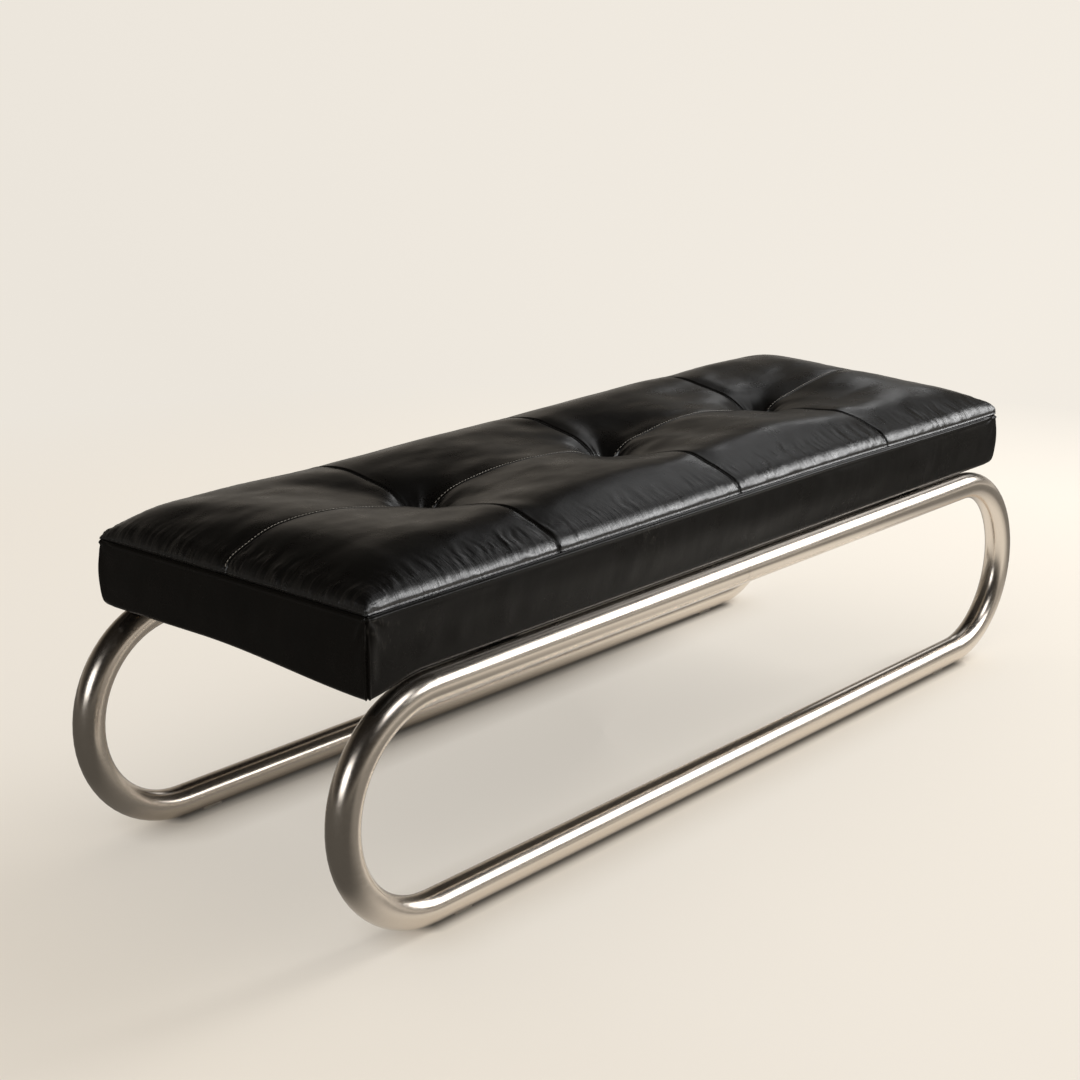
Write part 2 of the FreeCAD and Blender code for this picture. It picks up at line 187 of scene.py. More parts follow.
class BenchFinishSettings(bpy.types.PropertyGroup):
    """Colours and gloss of the bench."""

    leather_colour: colour("Leather", "Colour of the leather", (0.0024, 0.0021, 0.0018))
    leather_gloss: share("Leather roughness", "Roughness of the leather", 0.27)
    scuff_colour: colour("Scuffs", "Colour of rubbed leather", (0.055, 0.052, 0.047))
    pale_thread: colour("Pale thread", "Thread of the lengthwise seam", (0.30, 0.28, 0.245))
    dark_thread: colour("Dark thread", "Thread of the other seams", (0.004, 0.0037, 0.0033))
    tube_colour: colour("Tube", "Tint of the polished tube", (0.80, 0.72, 0.63))
    tube_gloss: share("Tube roughness", "Roughness of the polished tube", 0.22)


class BenchStageSettings(bpy.types.PropertyGroup):
    """Camera, lamps and floor."""

    azimuth: angle("Azimuth", "Turn of the camera about the bench", -48.74)
    elevation: angle("Elevation", "Height of the camera above the floor", 16.17)
    distance: length("Distance", "From the camera to its target", 2.7223)
    target: FloatVectorProperty(
        name="Target",
        description="Point that the camera looks at",
        default=(0.0134, 0.1286, 0.2481),
        unit="LENGTH",
    )
    lens: number("Lens", "Focal length", 65.26, "CAMERA")
    floor_colour: colour("Floor", "Colour of the floor and the backdrop", (0.85, 0.80, 0.725))
    drape_colour: colour("Drape", "Brightest part of the cloth in the reflections", (0.80, 0.71, 0.60))
    shade_colour: colour("Shade", "Dark part of that cloth, and the ceiling", (0.012, 0.010, 0.008))
    sky_colour: colour("Sky colour", "Colour of the even light", (1, 0.95, 0.88))
    sky_strength: number("Sky", "Strength of the even light", 0.82)
    key_power: number("Key lamp", "Power of the large lamp", 68, "POWER")
    panel_strength: number("Panels", "Glow of the panels in the reflections", 3)


# Small tools


def select_only(piece):
    bpy.ops.object.select_all(action="DESELECT")
    piece.select_set(True)
    bpy.context.view_layer.objects.active = piece


def named(name):
    """The object that an operator has just added, under its own name."""
    piece = bpy.context.object
    piece.name = name
    piece.data.name = name
    return piece


def finish_piece(piece, slot, material, *replaced):
    """Gives a piece its finish and lets it ride on the frame in place of the nodes that it stands for."""
    piece.data.materials.clear()
    piece.data.materials.append(material)
    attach(piece, "root")
    if replaced:
        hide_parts(*replaced)


def thicken(piece, thickness):
    """Gives a sheet its thickness, inwards, and smooth shading."""
    select_only(piece)
    modifier = piece.modifiers.new("Thickness", "SOLIDIFY")
    modifier.thickness = thickness
    modifier.offset = -1
    bpy.ops.object.modifier_apply(modifier=modifier.name)
    bpy.ops.object.shade_smooth_by_angle(angle=SMOOTH_ANGLE)


def read_points(mesh):
    points = np.empty(len(mesh.vertices) * 3)
    mesh.vertices.foreach_get("co", points)
    return points.reshape(-1, 3)


def write_points(mesh, points):
    mesh.vertices.foreach_set("co", np.ascontiguousarray(points, dtype=np.float32).ravel())
    mesh.update()


def bell(distance, width):
    return np.exp(-((distance / width) ** 2))


def soft_step(value, low, high):
    """Rises smoothly from 0 at low to 1 at high."""
    t = np.clip((value - low) / (high - low), 0, 1)
    return t * t * (3 - 2 * t)


def soft_fade(value, low, high):
    """Falls smoothly from 1 at low to 0 at high."""
    return soft_step(-value, -high, -low)


def between_lines(grid, row, column, next_row, next_column, ty, tx):
    """Values of a grid between two of its rows and two of its columns."""
    near = grid[row, column] * (1 - tx) + grid[row, next_column] * tx
    far = grid[next_row, column] * (1 - tx) + grid[next_row, next_column] * tx
    return near * (1 - ty) + far * ty


def soft_noise(x, y, seed):
    """Smooth noise from -1 to 1 whose bumps are about one unit wide."""
    size = 128
    table = np.random.default_rng(seed).uniform(-1, 1, (size, size))
    column, row = np.floor(x).astype(int), np.floor(y).astype(int)
    tx, ty = soft_step(x - column, 0, 1), soft_step(y - row, 0, 1)
    return between_lines(table, row % size, column % size, (row + 1) % size, (column + 1) % size, ty, tx)


def close_lines(low, high, features, fine, coarse, reach):
    """Places from low to high that stand close together at the features and further apart elsewhere."""
    steps = np.linspace(low, high, 20001)
    away = np.min([np.abs(steps - place) for place in features], axis=0)
    density = 1 / (fine + (coarse - fine) * soft_step(away, 0, reach))
    count = np.concatenate([[0], np.cumsum((density[1:] + density[:-1]) / 2 * np.diff(steps))])
    wanted = np.linspace(0, count[-1], int(round(count[-1])) + 1)
    return np.interp(wanted, count, steps)


def spline_weights(places, low, step, count):
    """Weights that read evenly spaced values at other places along a smooth curve."""
    at = np.clip((places - low) / step, 0, count - 1)
    first = np.minimum(at.astype(int), count - 2)
    t = at - first
    terms = (
        (-t + 2 * t**2 - t**3) / 2,
        (2 - 5 * t**2 + 3 * t**3) / 2,
        (t + 4 * t**2 - 3 * t**3) / 2,
        (-(t**2) + t**3) / 2,
    )
    weights = np.zeros((len(places), count))
    for shift, term in zip((-1, 0, 1, 2), terms):
        np.add.at(weights, (np.arange(len(places)), np.clip(first + shift, 0, count - 1)), term)
    return weights


def blur_weights(places, width):
    weights = bell(places[:, None] - places[None, :], width)
    return weights / weights.sum(axis=1, keepdims=True)


def weighted(grid, across, along):
    """A grid of points read through weights across and along it."""
    return np.einsum("ri,ijk,cj->rck", across, grid, along, optimize=True)


def grid_normals(points):
    normals = np.cross(np.gradient(points, axis=1), np.gradient(points, axis=0))
    return normals / np.maximum(np.linalg.norm(normals, axis=2, keepdims=True), 1e-12)


def raised(points, relief):
    return points + grid_normals(points) * relief[:, :, None]


class Sheet:
    """Leather as a grid: places of its lines along and across the flat sheet, and its points in space."""

    def __init__(self, along, across, points):
        self.along, self.across, self.points = along, across, points
        self.normals = grid_normals(points)

    def sample(self, along, across):
        """Points and normals at places on the flat sheet."""
        column = np.clip(np.searchsorted(self.along, along) - 1, 0, len(self.along) - 2)
        row = np.clip(np.searchsorted(self.across, across) - 1, 0, len(self.across) - 2)
        tx = ((along - self.along[column]) / (self.along[column + 1] - self.along[column]))[:, None]
        ty = ((across - self.across[row]) / (self.across[row + 1] - self.across[row]))[:, None]
        grids = (self.points, self.normals)
        return [between_lines(grid, row, column, row + 1, column + 1, ty, tx) for grid in grids]

    def piece(self, name):
        """A mesh grid with a vertex at each crossing and the flat places as its UV map."""
        bpy.ops.object.select_all(action="DESELECT")
        bpy.ops.mesh.primitive_grid_add(
            x_subdivisions=len(self.along) - 1, y_subdivisions=len(self.across) - 1, size=1, calc_uvs=True
        )
        piece = named(name)
        write_points(piece.data, self.points)
        corners = np.empty(len(piece.data.loops), dtype=int)
        piece.data.loops.foreach_get("vertex_index", corners)
        flat = np.stack(np.meshgrid(self.along, self.across), axis=2).reshape(-1, 2)[corners]
        piece.data.uv_layers[0].name = "flat"
        piece.data.uv_layers[0].data.foreach_set("uv", flat.astype(np.float32).ravel())
        return piece


# Shape of the seat


def at_rear_left(x, y):
    return soft_step(-x, 0.3 * HALF_LENGTH, HALF_LENGTH) * soft_step(y, -0.3 * HALF_WIDTH, HALF_WIDTH)


def used_corners(points, seat):
    """Moves the rear left corner outwards, most at its foot, and lets the front right one sink."""
    x, y, z = np.moveaxis(points, 2, 0)
    height = np.clip((z - LEATHER_BOTTOM_Z) / (SEAM_Z - LEATHER_BOTTOM_Z), 0, 1)
    push = seat.corner_push * at_rear_left(x, y) * (FOOT_PUSH - (FOOT_PUSH - 1) * height)
    at_right = soft_step(x, 0.2 * HALF_LENGTH, HALF_LENGTH)
    at_front = soft_step(-y, -0.5 * HALF_WIDTH, HALF_WIDTH)
    sink = seat.corner_sink * at_right * at_front * height
    return np.stack([x - 0.8 * push, y + push, z - sink], axis=2)


def edge_arc(seat):
    """Length along the leather of the rounded edge, a quarter of an ellipse."""
    return math.pi / 2 * math.sqrt((seat.edge_roll**2 + seat.crown_height**2) / 2)


def flat_halves(seat):
    """Half the length and half the width of the flat top."""
    more = edge_arc(seat) - seat.edge_roll
    return HALF_LENGTH + more, HALF_WIDTH + more


def ramped(share, seat):
    """Inset and share of the crown along an edge that rolls tightly at its seam and then slopes up."""
    steps = 60
    turn = np.linspace(0, math.pi / 2, steps)
    ramp = np.linspace(seat.tight_roll, seat.edge_roll, steps)
    inset = np.concatenate([seat.tight_roll * (1 - np.cos(turn)), ramp[1:]])
    roll = seat.tight_rise * np.sqrt(1 - (1 - np.minimum(inset / seat.tight_roll, 1)) ** 2)
    rise = roll + (seat.crown_height - seat.tight_rise) * np.sin(inset / seat.edge_roll * math.pi / 2)
    arc = np.concatenate([[0], np.cumsum(np.hypot(np.diff(inset), np.diff(rise)))])
    arc /= arc[-1]
    return np.interp(share, arc, inset), np.interp(share, arc, rise) / seat.crown_height


def rolled(flat, half, seat, fullness):
    """Plan place and share of the crown along the flat sheet.

    Its low side is ramped, and its high side is a fuller ellipse.
    """
    arc = edge_arc(seat)
    inwards = half - seat.edge_roll + arc - np.abs(flat)
    share = np.clip(inwards / arc, 0, 1)
    low_inset, low_rise = ramped(share, seat)
    turn = share * math.pi / 2
    inset = np.where(flat < 0, low_inset, seat.edge_roll * (1 - np.cos(turn)))
    rise = np.where(flat < 0, low_rise, np.sin(turn) ** fullness)
    return np.sign(flat) * (half - inset - np.maximum(inwards - arc, 0)), rise


def round_corners(x, y, half_x, half_y, radius):
    """Moves plan points of a rectangle so that its corners become round."""
    p = np.clip(np.abs(x) - (half_x - radius), 0, None)
    q = np.clip(np.abs(y) - (half_y - radius), 0, None)
    bend = 1 / (2 * radius**2)
    new_p = p * np.sqrt(np.maximum(1 - q**2 * bend, 0))
    new_q = q * np.sqrt(np.maximum(1 - p**2 * bend, 0))
    return x + np.sign(x) * (new_p - p), y + np.sign(y) * (new_q - q)


def tuft_distance(x, y):
    return np.min([np.hypot(x - place, y) for place in TUFT_PLACES], axis=0)


def tuft_pull(x, y, seat):
    """Share of the tuft's depth at each place: a steep pit in a funnel that widens into the panels."""
    away = tuft_distance(x, y)
    funnel = np.exp(-((away / seat.tuft_reach) ** 1.3))
    pit = np.exp(-((away / seat.tuft_core) ** 1.6))
    return FUNNEL_SHARE * funnel + (1 - FUNNEL_SHARE) * pit


def crowned(along, across, seat):
    """Points of the stretched top: the crown of the filling, drawn down at the tufts."""
    x, rise_x = rolled(along, HALF_LENGTH, seat, seat.end_fullness)
    y, rise_y = rolled(across, HALF_WIDTH, seat, seat.rear_fullness)
    x, y = np.meshgrid(x, y)
    slack = np.outer(rise_y, rise_x)
    rise_x, rise_y = np.meshgrid(np.maximum(rise_x, 0.01), np.maximum(rise_y, 0.01))
    full = (rise_x**-3 + rise_y**-3 - 1) ** (-1 / 3)
    rise = slack + (full - slack) * (1 - at_rear_left(x, y))
    lift = seat.rear_lift * soft_step(x, -0.6 * HALF_LENGTH, 0.7 * HALF_LENGTH)
    lift *= soft_step(y, 0, 0.8 * HALF_WIDTH)
    depth = CREST_Z - BUTTON_TOP_Z + BUTTON_SINK
    z = SEAM_Z + (seat.crown_height + lift - depth * tuft_pull(x, y, seat)) * rise
    x, y = round_corners(x, y, HALF_LENGTH, HALF_WIDTH, seat.corner_radius)
    return np.stack([x, y, z], axis=2)


def settle_top(along, across, seat):
    """Lets the filling push the leather out between its seams and tufts, and returns the settled points."""
    start = crowned(along, across, seat)
    sheet = Sheet(along, across, start).piece("top_cloth")
    a, b = np.meshgrid(along, across)
    from_seam = np.min([np.abs(a - place) for place in TUFT_PLACES] + [np.abs(b)], axis=0)
    from_tuft = tuft_distance(a, b)
    hold = SEAM_HOLD * bell(from_seam, 5 * MM) * soft_fade(from_tuft, 40 * MM, 150 * MM)
    hold = np.maximum(hold, soft_fade(from_tuft, 9 * MM, 16 * MM))
    hold[[0, -1], :] = 1
    hold[:, [0, -1]] = 1
    group = sheet.vertex_groups.new(name="held")
    for index, weight in enumerate(hold.ravel()):
        if weight > 0.001:
            group.add([index], float(weight), "REPLACE")
    cloth = sheet.modifiers.new("Cloth", "CLOTH")
    for key, value in CLOTH.items():
        setattr(cloth.settings, key, value)
    cloth.settings.vertex_group_mass = group.name
    cloth.settings.uniform_pressure_force = seat.cloth_pressure
    cloth.settings.effector_weights.gravity = 0
    cloth.collision_settings.use_collision = False
    cloth.point_cache.frame_end = seat.cloth_frames
    scene = bpy.context.scene
    for frame_number in range(1, seat.cloth_frames + 1):
        scene.frame_set(frame_number)
    select_only(sheet)
    bpy.ops.object.modifier_apply(modifier=cloth.name)
    move = read_points(sheet.data).reshape(start.shape) - start
    scene.frame_set(1)
    bpy.data.objects.remove(sheet)
    blur = 16 * MM
    move = weighted(move, blur_weights(across, blur), blur_weights(along, blur))
    inwards = np.minimum(along[-1] - np.abs(a), across[-1] - np.abs(b))
    move *= (0.25 + 0.75 * soft_step(inwards, 20 * MM, 130 * MM))[:, :, None]
    distance = np.maximum(np.linalg.norm(move, axis=2, keepdims=True), 1e-9)
    return start + move * np.minimum(1, seat.cloth_cap / distance)


def sewn(distance, lines, seat):
    """Height of the grooves and ridges beside a seam."""
    heights = [
        height * MM * bell(distance - rows * seat.row_offset, width * MM) for rows, height, width in lines
    ]
    return np.sum(heights, axis=0)


def tuft_folds(across, along, seat, tuft):
    """Height of the long folds, the pleats and the fine gathers round one tuft."""
    away = np.hypot(across, along)
    turn = np.arctan2(along, across)
    ring_x, ring_y = np.cos(turn), np.sin(turn)
    long_fold = soft_noise(ring_x * 1.5 + 9, ring_y * 1.5 + away / (90 * MM) + 9, 11 + tuft)
    pleat = soft_noise(ring_x * 3.4 + 30, ring_y * 3.4 + 30, 21 + tuft)
    gather = 1 - 2 * np.abs(soft_noise(ring_x * 6 + 60, ring_y * 6 + 60, 71 + tuft))
    height = 2.1 * long_fold * bell(away - 70 * MM, 50 * MM) + pleat * bell(away - 27 * MM, 15 * MM)
    return seat.pleat_depth * (height + 0.75 * gather * bell(away - 21 * MM, 12 * MM))


def side_creases(along, across, side, seat, seed):
    """Ragged creases that run up from an edge seam onto the top."""
    shift = 7 * MM * soft_noise(along / (40 * MM), side / (20 * MM), seed)
    edge = np.sign(across)
    fine = soft_noise((along + shift) / (3.6 * MM), side / (45 * MM) + edge * 7, seed + 1)
    broad = soft_noise((along + shift) / (9 * MM), side / (60 * MM) + edge * 7, seed + 2)
    patch = soft_step(soft_noise(along / (55 * MM), edge * 3.3, seed + 3), -0.7, 0.7)
    window = soft_step(side, 5 * MM, 13 * MM) * soft_fade(side, 22 * MM, 75 * MM)
    ridge = 1 - 2 * np.abs(fine)
    return seat.crease_depth * window * (0.35 + 0.65 * patch) * (0.6 * ridge + 0.9 * broad)


def top_detail(a, b, seat):
    """Height of seams, pleats and creases over the settled top, at places on the flat sheet."""
    half_a, half_b = flat_halves(seat)
    end, side = half_a - np.abs(a), half_b - np.abs(b)
    edge = np.minimum(end, side)
    relief = np.zeros_like(a)
    for tuft, place in enumerate(TUFT_PLACES):
        across = a - place
        relief += tuft_folds(across, b, seat, tuft)
        relief -= seat.seam_dip * bell(across, 14 * MM) * (0.2 + 0.8 * bell(b, 95 * MM))
        relief -= seat.seam_groove * bell(across, 1.6 * MM)
        relief += sewn(across, CROSS_SEAM, seat)
    relief -= 0.35 * seat.seam_dip * bell(b, 12 * MM)
    relief -= 0.4 * seat.seam_groove * bell(b, 1.1 * MM)
    relief += sewn(b, LENGTH_SEAM, seat) + sewn(edge, RIM_SEAM, seat)
    relief += side_creases(a, b, side, seat, 31) + side_creases(b, a, end, seat, 41)
    relief += 0.7 * MM * soft_noise(a / (95 * MM), b / (42 * MM), 51) * soft_step(edge, 10 * MM, 60 * MM)
    relief += 0.22 * MM * soft_noise(a / (33 * MM), b / (14 * MM), 52) * soft_step(edge, 10 * MM, 40 * MM)
    return relief * soft_step(tuft_distance(a, b), 2 * MM, 16 * MM)


class BENCH_OT_leather_top(bpy.types.Operator):
    """Crown, tuft and sew the leather top"""

    bl_idname = "bench.leather_top"
    bl_label = "Leather top"

    def execute(self, context):
        seat = context.scene.bench_seat
        half_a, half_b = flat_halves(seat)
        count_a = int(round(2 * half_a / seat.cloth_spacing)) + 1
        count_b = int(round(2 * half_b / seat.cloth_spacing)) + 1
        cloth_a = np.linspace(-half_a, half_a, count_a)
        cloth_b = np.linspace(-half_b, half_b, count_b)
        settled = settle_top(cloth_a, cloth_b, seat)
        reach = 16 * MM
        features = [-half_a, *TUFT_PLACES, half_a]
        along = close_lines(-half_a, half_a, features, SEAM_LINES, TOP_LINES, reach)
        across = close_lines(-half_b, half_b, [-half_b, 0, half_b], SEAM_LINES, TOP_LINES, reach)
        weights_a = spline_weights(along, -half_a, cloth_a[1] - cloth_a[0], count_a)
        weights_b = spline_weights(across, -half_b, cloth_b[1] - cloth_b[0], count_b)
        points = weighted(settled, weights_b, weights_a)
        relief = top_detail(*np.meshgrid(along, across), seat)
        SHEETS["top"] = Sheet(along, across, used_corners(raised(points, relief), seat))
        piece = SHEETS["top"].piece("leather_top")
        self.close_underneath(piece)
        select_only(piece)
        bpy.ops.object.shade_smooth_by_angle(angle=SMOOTH_ANGLE)
        material = leather("top_leather", halves={"Y": half_b, "X": half_a})
        finish_piece(piece, "black_leather", material, *TOP_PANELS)
        return {"FINISHED"}

    def close_underneath(self, piece):
        """Turns the border in and down to a flat underside."""
        inset = 3 * MM
        select_only(piece)
        bpy.ops.object.mode_set(mode="EDIT")
        bpy.ops.mesh.select_mode(type="EDGE")
        bpy.ops.mesh.select_all(action="DESELECT")
        bpy.ops.mesh.select_non_manifold()
        bpy.ops.mesh.extrude_edges_move()
        shrink = (1 - inset / HALF_LENGTH, 1 - inset / HALF_WIDTH, 1)
        bpy.ops.transform.resize(value=shrink, center_override=(0, 0, 0))
        bpy.ops.mesh.extrude_edges_move()
        bpy.ops.transform.resize(value=(1, 1, 0), center_override=(0, 0, PAD_BOTTOM_Z))
        bpy.ops.mesh.edge_face_add()
        bpy.ops.object.mode_set(mode="OBJECT")


def strip_parts(seat):
    """Widths of a boxing strip's flange, of its bend and of its upright face."""
    flange = TURN_UNDER - SIDE_BULGE - seat.roll_radius
    return flange, seat.roll_radius * math.pi / 2, SEAM_Z - LEATHER_BOTTOM_Z - seat.roll_radius


def strip_sections(across, seat):
    """How far out of the seam's plane, and how high, a boxing strip lies at places across it, from below."""
    flange, bend, face = strip_parts(seat)
    turn = np.clip((across - flange) / bend, 0, 1) * math.pi / 2
    up = np.clip((across - flange - bend) / face, 0, 1)
    out = np.minimum(across, flange) - flange - seat.roll_radius * (1 - np.sin(turn))
    out = out + SIDE_BULGE * (1 - np.cos(2 * math.pi * up)) / 2
    z = LEATHER_BOTTOM_Z + seat.roll_radius * (1 - np.cos(turn)) + face * up
    return out, z


def strip_detail(a, down, half_run, seat, seed):
    """Height of seams, pinches and wrinkles over a boxing strip, along it and down from its seam."""
    end = half_run - np.abs(a)
    face = soft_fade(down, 48 * MM, 75 * MM)
    relief = sewn(down, STRIP_SEAM, seat)
    relief += 0.9 * MM * bell(end - 2.8 * MM, 1.3 * MM) - 2.0 * MM * bell(end, 1.6 * MM)
    relief += 0.7 * MM * bell(end - 8 * MM, 6 * MM) * face
    away = np.hypot(end, down)
    turn = np.arctan2(down, end)
    pinch = soft_noise(turn * 5, np.sign(a) * 4.4 + away / (60 * MM), seed)
    relief += 2.0 * MM * pinch * bell(away - 18 * MM, 14 * MM) * soft_step(away, 3 * MM, 9 * MM)
    leaning = a + 0.25 * down
    upright = soft_noise(leaning / (24 * MM), down / (55 * MM), seed + 1)
    fine = soft_noise(leaning / (9 * MM), down / (24 * MM), seed + 2)
    broad = soft_noise(a / (70 * MM), down / (45 * MM), seed + 3)
    inside = soft_step(down, 6 * MM, 16 * MM) * face * soft_step(end, 4 * MM, 20 * MM)
    return relief + inside * MM * (0.5 * upright + 0.1 * fine + 0.6 * broad)


def soften_lower_corners(points, seat):
    """Draws the lower corners in, and lets the front left one hang, as on a seat that has been used."""
    x, y, z = np.moveaxis(points, 2, 0)
    reach, low_reach = seat.corner_reach, 0.8 * seat.corner_reach
    near_x = np.clip((np.abs(x) - HALF_LENGTH + reach) / reach, 0, 1)
    near_y = np.clip((np.abs(y) - HALF_WIDTH + reach) / reach, 0, 1)
    low = np.clip((LEATHER_BOTTOM_Z + low_reach - z) / low_reach, 0, 1)
    cut = seat.corner_cut * (near_x * near_y * low) ** 2
    hanging = (x < 0) & (y < 0)
    cut = np.where(hanging, 0.15 * cut, cut)
    past_bend = np.clip(-x - TUBE_BEND_X, 0, 0.9 * TUBE_BEND_RADIUS)
    tube_drop = TUBE_BEND_RADIUS - np.sqrt(TUBE_BEND_RADIUS**2 - past_bend**2)
    droop = seat.corner_droop * (1 - np.exp(-tube_drop / seat.corner_droop))
    droop *= soft_step(-y, -50 * MM, HALF_WIDTH)
    z = z + 0.75 * cut - droop * soft_step(SEAM_Z - z, 5 * MM, SEAM_Z - LEATHER_BOTTOM_Z)
    return np.stack([x - np.sign(x) * cut, y - np.sign(y) * cut, z], axis=2)


class BENCH_OT_leather_boxing(bpy.types.Operator):
    """Wrap a strip of leather round each side of the seat"""

    bl_idname = "bench.leather_boxing"
    bl_label = "Leather boxing"

    def execute(self, context):
        seat = context.scene.bench_seat
        width = sum(strip_parts(seat))
        material = leather("boxing_leather", scuffs_and_side_light_width=width)
        across = close_lines(0, width, [width], SEAM_LINES, STRIP_LINES, 16 * MM)
        out, z = strip_sections(across, seat)
        for order, (side, (run, outwards, half_run, half_across)) in enumerate(SIDES.items()):
            ends = [-half_run, half_run]
            along = close_lines(*ends, ends, SEAM_LINES, STRIP_LINES, 18 * MM)
            a, b = np.meshgrid(along, across)
            run_edge, out_edge = half_run + out[:, None], half_across + out[:, None]
            radius = np.clip(seat.corner_radius + out[:, None], 1 * MM, None)
            run_at, out_at = round_corners(a * run_edge / half_run, out_edge, run_edge, out_edge, radius)
            points = run_at[:, :, None] * np.array(run) + out_at[:, :, None] * np.array(outwards)
            points = soften_lower_corners(points + z[:, None, None] * np.array((0, 0, 1)), seat)
            relief = strip_detail(a, width - b, half_run, seat, 100 + 10 * order)
            points = used_corners(raised(points, relief), seat)
            piece = Sheet(along, across, points).piece(f"leather_boxing_{side}")
            thicken(piece, seat.leather_thickness)
            finish_piece(piece, "black_leather", material, f"boxing_{side}")
        return {"FINISHED"}


class BENCH_OT_stitching(bpy.types.Operator):
    """Sew the rows of stitches along the seams"""

    bl_idname = "bench.stitching"
    bl_label = "Stitching"

    def execute(self, context):
        seat = context.scene.bench_seat
        finish = context.scene.bench_finish
        half_a, half_b = SHEETS["top"].along[-1], SHEETS["top"].across[-1]
        offset = seat.row_offset
        rim = []
        for sign in (-1, 1):
            rim.append(self.row(half_a - offset, seat.rim_pitch, sign * (half_b - offset)))
            rim.append(self.row(half_b - offset, seat.rim_pitch, sign * (half_a - offset))[::-1])
        along, across = self.row(half_a - 2 * offset, seat.stitch_pitch, 0.8 * offset)
        clear = np.min([np.abs(along - place) for place in TUFT_PLACES], axis=0) > STITCH_STOP
        lengthwise = [(along[clear], across[clear])]
        crosswise = []
        for place in TUFT_PLACES:
            across, along = self.row(half_b - 2 * offset, seat.stitch_pitch, place - offset)
            clear = np.abs(across) > STITCH_STOP
            crosswise.append((along[clear], across[clear]))
        pale = thread("pale_thread", finish.pale_thread)
        dark = thread("dark_thread", finish.dark_thread)
        self.sew("rim_stitches", rim, seat, seat.rim_pitch, dark)
        self.sew("lengthwise_stitches", lengthwise, seat, seat.stitch_pitch, pale)
        self.sew("crosswise_stitches", crosswise, seat, seat.stitch_pitch, dark)
        return {"FINISHED"}

    def row(self, half, pitch, fixed):
        """Places of a straight row of stitches on the flat sheet."""
        count = int(2 * half / pitch)
        along = (np.arange(count) - (count - 1) / 2) * pitch
        return along, np.full(count, fixed)

    def sew(self, name, rows, seat, pitch, material):
        """One mesh with a copy of the modelled stitch at each place of the rows, laid along the row."""
        slant, lift = 0.1, 0.12 * MM
        bpy.ops.object.select_all(action="DESELECT")
        bpy.ops.mesh.primitive_uv_sphere_add(segments=6, ring_count=5, radius=0.5)
        pattern = bpy.context.object
        size = (pitch - seat.stitch_gap, seat.thread_width, 0.8 * seat.thread_width)
        outline = read_points(pattern.data)[:, [2, 0, 1]] * size
        faces = [tuple(face.vertices) for face in pattern.data.polygons]
        bpy.data.objects.remove(pattern)
        points, polygons = [], []
        for along, across in rows:
            places, normals = SHEETS["top"].sample(along, across)
            runs = np.gradient(places, axis=0)
            runs -= normals * np.sum(runs * normals, axis=1, keepdims=True)
            runs /= np.linalg.norm(runs, axis=1, keepdims=True)
            sides = np.cross(normals, runs)
            runs = runs + slant * sides
            for place, normal, run, side in zip(places + normals * lift, normals, runs, sides):
                start = len(points) * len(outline)
                points.append(place + outline @ np.array([run, side, normal]))
                polygons += [tuple(start + corner for corner in face) for face in faces]
        mesh = bpy.data.meshes.new(name)
        mesh.from_pydata(np.concatenate(points).tolist(), [], polygons)
        piece = bpy.data.objects.new(name, mesh)
        bpy.context.scene.collection.objects.link(piece)
        select_only(piece)
        bpy.ops.object.shade_smooth()
        finish_piece(piece, "tuft_twine", material)


class BENCH_OT_tuft_buttons(bpy.types.Operator):
    """Cover the buttons at the bottom of the tufts"""

    bl_idname = "bench.tuft_buttons"
    bl_label = "Tuft buttons"

    def execute(self, context):
        bpy.ops.object.select_all(action="DESELECT")
        copies = []
        for place in TUFT_PLACES:
            bpy.ops.mesh.primitive_uv_sphere_add(segments=32, ring_count=16, radius=1)
            button = bpy.context.object
            points = read_points(button.data)
            turn = np.arctan2(points[:, 1], points[:, 0])
            gather = 1 + 0.025 * np.cos(11 * turn) * (1 - np.abs(points[:, 2]))
            points[:, :2] *= BUTTON_RADIUS * gather[:, None]
            points[:, 2] *= np.where(points[:, 2] > 0, BUTTON_DOME, BUTTON_FOOT)
            points += (place, 0, BUTTON_TOP_Z - BUTTON_DOME)
            write_points(button.data, points)
            copies.append(button)
        for button in copies:
            button.select_set(True)
        bpy.context.view_layer.objects.active = copies[0]
        bpy.ops.object.join()
        piece = named("covered_buttons")
        bpy.ops.object.origin_set(type="ORIGIN_CURSOR")
        bpy.ops.object.shade_smooth()
        finish_piece(piece, "black_leather", leather("button_leather"), "tuft_buttons")
        return {"FINISHED"}


class BENCH_OT_foam_core(bpy.types.Operator):
    """Cut the foam block that fills the seat"""

    bl_idname = "bench.foam_core"
    bl_label = "Foam core"

    def execute(self, context):
        low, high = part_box("foam_core")
        board_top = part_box("seat_board")[1].z
        gap, board_gap, rounding = 5 * MM, 0.2 * MM, 14 * MM
        bpy.ops.object.select_all(action="DESELECT")
        bpy.ops.mesh.primitive_cube_add(size=1, location=(0, 0, (board_top + high.z) / 2))
        piece = named("foam_block")
        piece.scale = (high.x - low.x - 2 * gap, high.y - low.y - 2 * gap, high.z - board_top - board_gap)
        bpy.ops.object.transform_apply(location=True, rotation=True, scale=True)
        bpy.ops.object.mode_set(mode="EDIT")
        bpy.ops.mesh.select_mode(type="EDGE")
        bpy.ops.mesh.select_all(action="SELECT")
        bpy.ops.mesh.bevel(offset=rounding, segments=6, affect="EDGES", clamp_overlap=True)
        bpy.ops.object.mode_set(mode="OBJECT")
        bpy.ops.object.shade_smooth_by_angle(angle=math.radians(40))
        finish_piece(piece, "seat_foam", foam(), "foam_core")
        return {"FINISHED"}


